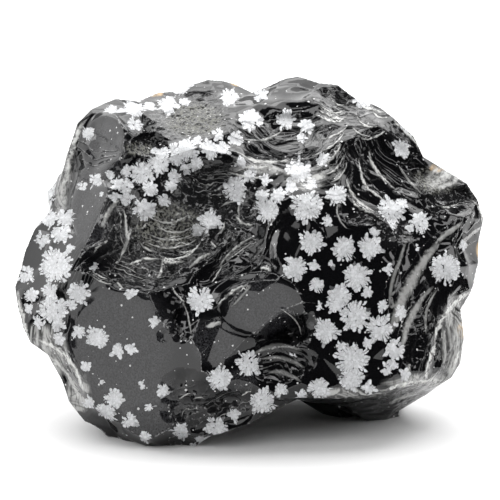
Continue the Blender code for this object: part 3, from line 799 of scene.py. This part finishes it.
def build_stone():
    """The finely broken stone, with the transform that placed it."""
    stone = bmesh.new()
    build_cage(stone)
    split_long_edges(stone)
    shape_skin(stone)
    cut_level(stone)
    mark_ridges(stone)
    place = place_in_box(stone)
    mark_flakes(stone, spread_flakes(stone, place))
    made = make_object("snowflake_obsidian", stone, obsidian_material())
    made.data.set_sharp_from_angle(angle=SHARP_TURN)
    return made, place


def join(sockets, terms):
    """Set each socket to its term, or join the two where the term is a socket as well."""
    for socket, term in zip(sockets, terms):
        if isinstance(term, bpy.types.NodeSocket):
            SKIN.links.new(term, socket)
        else:
            socket.default_value = term


def add_node(kind, settings=None, **inputs):
    """A node with its settings, and with each named input set to a value or joined to a socket."""
    made = SKIN.nodes.new(kind)
    for name, value in (settings or {}).items():
        setattr(made, name, value)
    join([made.inputs[name.replace("_", " ")] for name in inputs], inputs.values())
    return made


def calculate(operation, *terms):
    """The result of a Math node with these terms, each a value or a socket."""
    made = add_node("ShaderNodeMath", {"operation": operation})
    join(made.inputs, terms)
    return made.outputs[0]


def vector_math(operation, *terms):
    """The result of a Vector Math node with these terms, each a vector, a number or a socket."""
    made = add_node("ShaderNodeVectorMath", {"operation": operation})
    sockets = [made.inputs[0], made.inputs["Scale"]] if operation == "SCALE" else made.inputs
    join(sockets, terms)
    return made.outputs["Value" if operation in ("LENGTH", "DOT_PRODUCT") else "Vector"]


def scaled(value, factor, offset):
    """A value times a factor, plus an offset."""
    return calculate("MULTIPLY_ADD", value, factor, offset)


def times(product, *terms):
    """The product of several values."""
    for term in terms:
        product = calculate("MULTIPLY", product, term)
    return product


def strongest(best, *terms):
    """The greatest of several values."""
    for term in terms:
        best = calculate("MAXIMUM", best, term)
    return best


def ramp(value, start, end, low=0.0, high=1.0):
    """A value carried smoothly from low at start to high at end."""
    made = add_node("ShaderNodeMapRange", {"interpolation_type": "SMOOTHSTEP"})
    join(made.inputs, (value, start, end, low, high))
    return made.outputs["Result"]


def blend(share, first, second):
    """A colour mixed from two, each a colour or a socket."""
    made = add_node("ShaderNodeMix", {"data_type": "RGBA"})
    sockets = {socket.identifier: socket for socket in made.inputs}
    terms = {"Factor_Float": share, "A_Color": first, "B_Color": second}
    join([sockets[name] for name in terms], terms.values())
    return next(socket for socket in made.outputs if socket.identifier == "Result_Color")


def grey(level):
    return (level, level, level, 1.0)


def uneven(place, kind, output="Fac"):
    """Smooth unevenness of one of the kinds listed above."""
    crowd, detail = UNEVEN[kind]
    made = add_node("ShaderNodeTexNoise", Vector=place, Scale=crowd, Detail=detail)
    return made.outputs[output]


def cells_at(place, crowd, feature="F1"):
    """The sockets of a texture that splits space into cells."""
    made = add_node("ShaderNodeTexVoronoi", {"feature": feature}, Vector=place, Scale=crowd)
    return made.outputs


def chances_of(cells):
    """Three chance values of each cell, one for each colour."""
    return add_node("ShaderNodeSeparateColor", Color=cells["Color"]).outputs


def attribute(name, output="Fac"):
    return add_node("ShaderNodeAttribute", {"attribute_name": name}).outputs[output]


def lip_nodes(place):
    """Share of the pale lips, partly pale crushing and partly painted highlight, frayed along their edges,
    and how far the ground by them rises.
    """
    pale = attribute("lip_pale")
    fray = scaled(uneven(place, "lip fray"), 4.4, -2.2)
    off = scaled(fray, pale, attribute("lip"))
    thin = scaled(pale, -0.9, 1.0)
    streaks = ramp(uneven(place, "lip streak"), 0.38, 0.52, thin, 1.0)
    share = times(ramp(calculate("ABSOLUTE", off), 1.2, 0.3), pale, streaks)
    return share, times(ramp(off, -0.4, 1.2, 1.0, 0.0), pale)


def flake_nodes(place):
    """Share and brightness of the pale flakes: clumps of round lobes, split by dark rays."""
    middle = attribute("flake_middle", "Vector")
    squash = attribute("flake_squash", "Vector")
    reach = attribute("flake_reach")
    shiver = vector_math("SUBTRACT", uneven(place, "shiver", "Color"), (0.5, 0.5, 0.5))
    shaken = vector_math("ADD", place, vector_math("SCALE", shiver, FLAKE_SHIVER))
    away = vector_math("SUBTRACT", shaken, middle)
    depth = vector_math("DOT_PRODUCT", away, squash)
    away = vector_math("SUBTRACT", away, vector_math("SCALE", squash, depth))
    distance = calculate("DIVIDE", vector_math("LENGTH", away), reach)
    way = vector_math("NORMALIZE", away)
    turned = vector_math("ADD", way, vector_math("SCALE", middle, FLAKE_TURN))
    crowd = scaled(reach, PETAL_CROWD, 0.9)
    chances = chances_of(cells_at(turned, crowd))

    # A lobe belongs to the flake when its own middle lies within reach, so every edge is a row of
    # round ends
    spread = times(calculate("POWER", distance, 0.72), reach)
    spread = vector_math("ADD", vector_math("SCALE", way, spread), middle)
    lobes = cells_at(spread, LOBE_CROWD)
    lobe_away = vector_math("LENGTH", vector_math("SUBTRACT", lobes["Position"], middle))
    lobe_distance = calculate("DIVIDE", lobe_away, reach)
    limit = scaled(chances["Red"], 0.18, 0.78)
    chosen = ramp(calculate("SUBTRACT", limit, lobe_distance), -0.01, 0.01)
    plump = ramp(distance, 0.45, 0.95, 0.90, 0.52)
    blob = ramp(calculate("SUBTRACT", plump, lobes["Distance"]), 0.0, 0.08)

    # Dark cracks run inwards between the petals, some of them farther than others
    start = scaled(chances["Green"], 0.50, 0.20)
    width = strongest(calculate("SUBTRACT", distance, start), 0.0)
    width = scaled(width, 0.16, 0.001)
    gaps = cells_at(turned, crowd, "DISTANCE_TO_EDGE")["Distance"]
    gap = ramp(gaps, times(width, 0.3), width)

    # Grey joints run between the lobes, and each lobe has its own brightness
    seams = cells_at(spread, LOBE_CROWD, "DISTANCE_TO_EDGE")["Distance"]
    seams = ramp(seams, 0.0, 0.12, ramp(distance, 0.2, 0.8, 0.85, 0.50), 1.0)
    own = scaled(chances_of(lobes)["Blue"], 0.22, 0.86)
    level = scaled(uneven(place, "flake"), 0.50, 0.50)
    return times(chosen, blob, gap), times(level, seams, own)


def speck_nodes(place):
    """Tiny pale dots scattered through the glass."""
    dots = cells_at(place, SPECK_CROWD)
    chances = chances_of(dots)
    size = scaled(calculate("POWER", chances["Green"], 3.0), 0.20, 0.05)
    near = calculate("LESS_THAN", dots["Distance"], size)
    return times(near, calculate("GREATER_THAN", chances["Red"], 0.4))


def ledge_nodes(place):
    """Height in mm of the fine ledges, and where their sharp lips are."""
    flow = scaled(uneven(place, "bend"), 1.3, attribute("flow"))
    curl = times(uneven(place, "curl"), attribute("broken"))
    flow = scaled(curl, 2.2, flow)
    step = calculate("FRACT", flow)
    number = calculate("FLOOR", flow)
    chance = add_node("ShaderNodeTexWhiteNoise", {"noise_dimensions": "1D"}, W=number)
    strength = scaled(calculate("POWER", chance.outputs["Value"], 1.5), 1.1, 0.10)
    strength = times(strength, ramp(uneven(place, "patch"), 0.34, 0.58, 0.2, 1.0))
    drop = ramp(step, 0.84, 1.0, 1.0, 0.0)
    slope = calculate("POWER", step, 1.6)
    rise = times(attribute("flow_rise"), strength)
    lip = times(ramp(step, 0.72, 0.86), drop)
    paleness = calculate("MINIMUM", times(rise, 2.2), 1.0)
    return times(slope, drop, rise), times(lip, paleness)


def skin_group():
    """The colour, roughness and fine relief of the stone's skin."""
    place = add_node("ShaderNodeTexCoord").outputs["Object"]
    broken = attribute("broken")
    grain = attribute("grain")
    flakes, level = flake_nodes(place)
    ledges, lips = ledge_nodes(place)
    # The pale lips here are partly pale crushing of the glass and partly painted highlight
    edges, step_up = lip_nodes(place)
    coarse = uneven(place, "coarse")
    fine = uneven(place, "fine")
    streaks = uneven(vector_math("MULTIPLY", place, (1.0, 1.0, 0.25)), "streak")
    line = {"noise_dimensions": "1D"}
    bands = add_node("ShaderNodeTexNoise", line, W=attribute("flow"), Scale=0.8)

    # Painted shade: ground under the shade ovals has no pale edges, no dust and hardly any relief, so it
    # stays black
    frayed = scaled(uneven(place, "fray"), 1.3, -0.65)
    frayed = calculate("ADD", frayed, attribute("shade"))
    unshaded = ramp(frayed, 0.30, 0.60, 1.0, 0.10)

    mottle = ramp(uneven(place, "mottle"), 0.30, 0.72)
    smoky = times(attribute("smoky"), mottle)
    granular = times(grain, ramp(fine, 0.44, 0.60))
    warm = times(attribute("warm"), ramp(coarse, 0.35, 0.55))
    # Painted highlight: banded pale streaks where light catches the rims and some glassy faces
    banded = ramp(bands.outputs["Fac"], 0.38, 0.60, 0.12, 1.0)
    painted_highlight = times(attribute("pale"), banded, ramp(streaks, 0.36, 0.54, 0.4, 1.0))
    # Partly pale crushing of the glass, partly painted highlight along sharp ridges and the lips of ledges
    ridges = times(ramp(attribute("ridge"), 0.35, 0.9), ramp(fine, 0.42, 0.60))
    crushed_and_highlight = strongest(ridges, times(lips, ramp(fine, 0.36, 0.56)))
    crushed_and_highlight = times(crushed_and_highlight, unshaded)
    dust = times(ramp(fine, 0.58, 0.70), ramp(coarse, 0.50, 0.62), broken, unshaded, 0.5)
    # Painted highlight on the lips of the fine ledges in broken ground
    ledge_highlights = times(lips, ramp(uneven(place, "wisp"), 0.44, 0.56), broken, unshaded)

    # Each coat lies over the one before
    colour = BLACK_GLASS
    for share, coat in (
        (smoky, SMOKY_GLASS), (times(broken, 0.35), BROKEN_GLASS), (granular, GRANULAR),
        (warm, WARM_GLASS), (painted_highlight, HIGHLIGHT_GREY), (times(crushed_and_highlight, 0.7), CRUSHED_AND_HIGHLIGHT),
        (dust, CRUSHED_AND_HIGHLIGHT), (ledge_highlights, LEDGE_HIGHLIGHT), (edges, LIP_PALE_AND_HIGHLIGHT),
        (flakes, blend(level, grey(0.0), FLAKE)), (speck_nodes(place), SPECK),
    ):
        colour = blend(share, colour, coat)

    dull = strongest(times(flakes, 0.9), granular, painted_highlight, times(crushed_and_highlight, 0.6), ledge_highlights, edges)
    roughness = scaled(dull, 0.42, scaled(broken, 0.05, GLOSS))

    # A fine jumble of flinty chips, under the relief of the unshaded ground, the flakes and the lips
    jumble = uneven(place, "jumble", "Color")
    jumble = vector_math("ADD", vector_math("SCALE", jumble, FLINT_SHIVER), place)
    flints = cells_at(jumble, FLINT_CROWD)["Distance"]
    height = scaled(times(grain, fine), 0.15, ledges)
    height = scaled(times(broken, flints), 0.14, height)
    height = scaled(times(broken, fine), 0.04, height)
    height = times(height, unshaded)
    height = scaled(times(flakes, level), 0.03, height)
    height = scaled(step_up, LIP_DROP, height)

    out = SKIN.nodes.new("NodeGroupOutput")
    for name, kind, socket in (
        ("Color", "Color", colour), ("Roughness", "Float", roughness), ("Height", "Float", height)
    ):
        SKIN.interface.new_socket(name, in_out="OUTPUT", socket_type="NodeSocket" + kind)
        SKIN.links.new(socket, out.inputs[name])
    return SKIN


def new_material(name):
    """A material with its node tree and the sockets of its shader."""
    material = bpy.data.materials.new(name)
    material.use_nodes = True
    return material, material.node_tree, material.node_tree.nodes["Principled BSDF"].inputs


def obsidian_material():
    """Black glass, whose colour, roughness and relief come from the skin group."""
    material, tree, surface = new_material("snowflake_obsidian")
    surface["IOR"].default_value = GLASS_IOR
    skin = tree.nodes.new("ShaderNodeGroup")
    skin.node_tree = skin_group()
    bump = tree.nodes.new("ShaderNodeBump")
    bump.inputs["Distance"].default_value = MM
    tree.links.new(skin.outputs["Color"], surface["Base Color"])
    tree.links.new(skin.outputs["Roughness"], surface["Roughness"])
    tree.links.new(skin.outputs["Height"], bump.inputs["Height"])
    tree.links.new(bump.outputs["Normal"], surface["Normal"])
    return material


def build_sheet(name, rows, material):
    """A pale sheet to stand on, grown row by row from its front edge."""
    sheet = bmesh.new()
    half, along, height = rows[0]
    ends = [sheet.verts.new((side * half, along, height)) for side in (-1.0, 1.0)]
    edge = sheet.edges.new(ends)
    for half, along, height in rows[1:]:
        grown = bmesh.ops.extrude_edge_only(sheet, edges=[edge])["geom"]
        edge = next(part for part in grown if isinstance(part, bmesh.types.BMEdge))
        for vert in edge.verts:
            vert.co = Vector((math.copysign(half, vert.co.x), along, height))
    bmesh.ops.recalc_face_normals(sheet, faces=sheet.faces)
    made = make_object(name, sheet, material)
    return made


def build_floor():
    """A pale board, narrow in front to keep the glass dark, on ground that the glass doesn't show."""
    pale, _, surface = new_material("pale_table")
    surface["Base Color"].default_value = grey(0.88)
    surface["Roughness"].default_value = 0.7
    build_sheet("pale_table", FLOOR_ROWS, pale)
    build_sheet("pale_ground", GROUND_ROWS, pale).visible_glossy = False


def add_panel(name, place, size, radiance, target=LIT_HEART):
    """A soft rectangular light that faces the stone, as bright all over as the radiance says."""
    light = bpy.data.lights.new(name, "AREA")
    light.shape = "RECTANGLE"
    light.size, light.size_y = size
    light.energy = radiance * math.pi * size[0] * size[1]
    made = place_object(name, light)
    made.location = place
    made.rotation_euler = (Vector(place) - Vector(target)).to_track_quat("Z", "Y").to_euler()
    return made


def add_mirror_panel(name, turn, rise, spread, radiance):
    """A panel that only shows as a reflection: its turn from the front (left is negative) and its
    rise, with how far it spreads sideways and upwards, all in degrees."""
    turn, rise = math.radians(turn), math.radians(rise)
    way = Vector((math.sin(turn) * math.cos(rise), -math.cos(turn) * math.cos(rise), math.sin(rise)))
    size = [2.0 * PANEL_AWAY * math.tan(math.radians(angle) / 2) for angle in spread]
    made = add_panel(name, Vector(LIT_HEART) + way * PANEL_AWAY, size, radiance)
    made.visible_diffuse = False


def light_studio():
    for panel in DIFFUSE_PANELS:
        add_panel(*panel).visible_glossy = False
    for panel in MIRROR_PANELS:
        add_mirror_panel(*panel)
    add_panel(*BACK_PANEL)
    world = bpy.data.worlds.new("studio")
    world.use_nodes = True
    world.node_tree.nodes["Background"].inputs["Color"].default_value = grey(0.02)
    bpy.context.scene.world = world


def set_camera(place):
    """A long lens in line with the reading direction, as wide as the reading grid."""
    middle = place @ (UP_VIEW * (FLOOR_DOWN - MIDDLE_ACROSS) * STEP + INTO_VIEW * CAMERA_AIM)
    lens = bpy.data.cameras.new("camera")
    lens.sensor_width = SENSOR
    lens.lens = SENSOR * CAMERA_AWAY / (2.0 * MIDDLE_ACROSS * STEP * MM) * CAMERA_CLOSE
    lens.clip_end = 20.0
    made = place_object("camera", lens)
    turn = Matrix((Vector((1.0, 0.0, 0.0)), UP_VIEW, -INTO_VIEW)).transposed().to_4x4()
    made.matrix_world = Matrix.Translation(middle - INTO_VIEW * CAMERA_AWAY) @ turn
    bpy.context.scene.camera = made


def main():
    noise.seed_set(DRIFT_SEED)
    stone, place = build_stone()
    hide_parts("obsidian_chunk")
    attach(stone, "root")
    build_floor()
    light_studio()
    set_camera(place)
    bpy.context.scene.view_settings.view_transform = "Standard"


main()
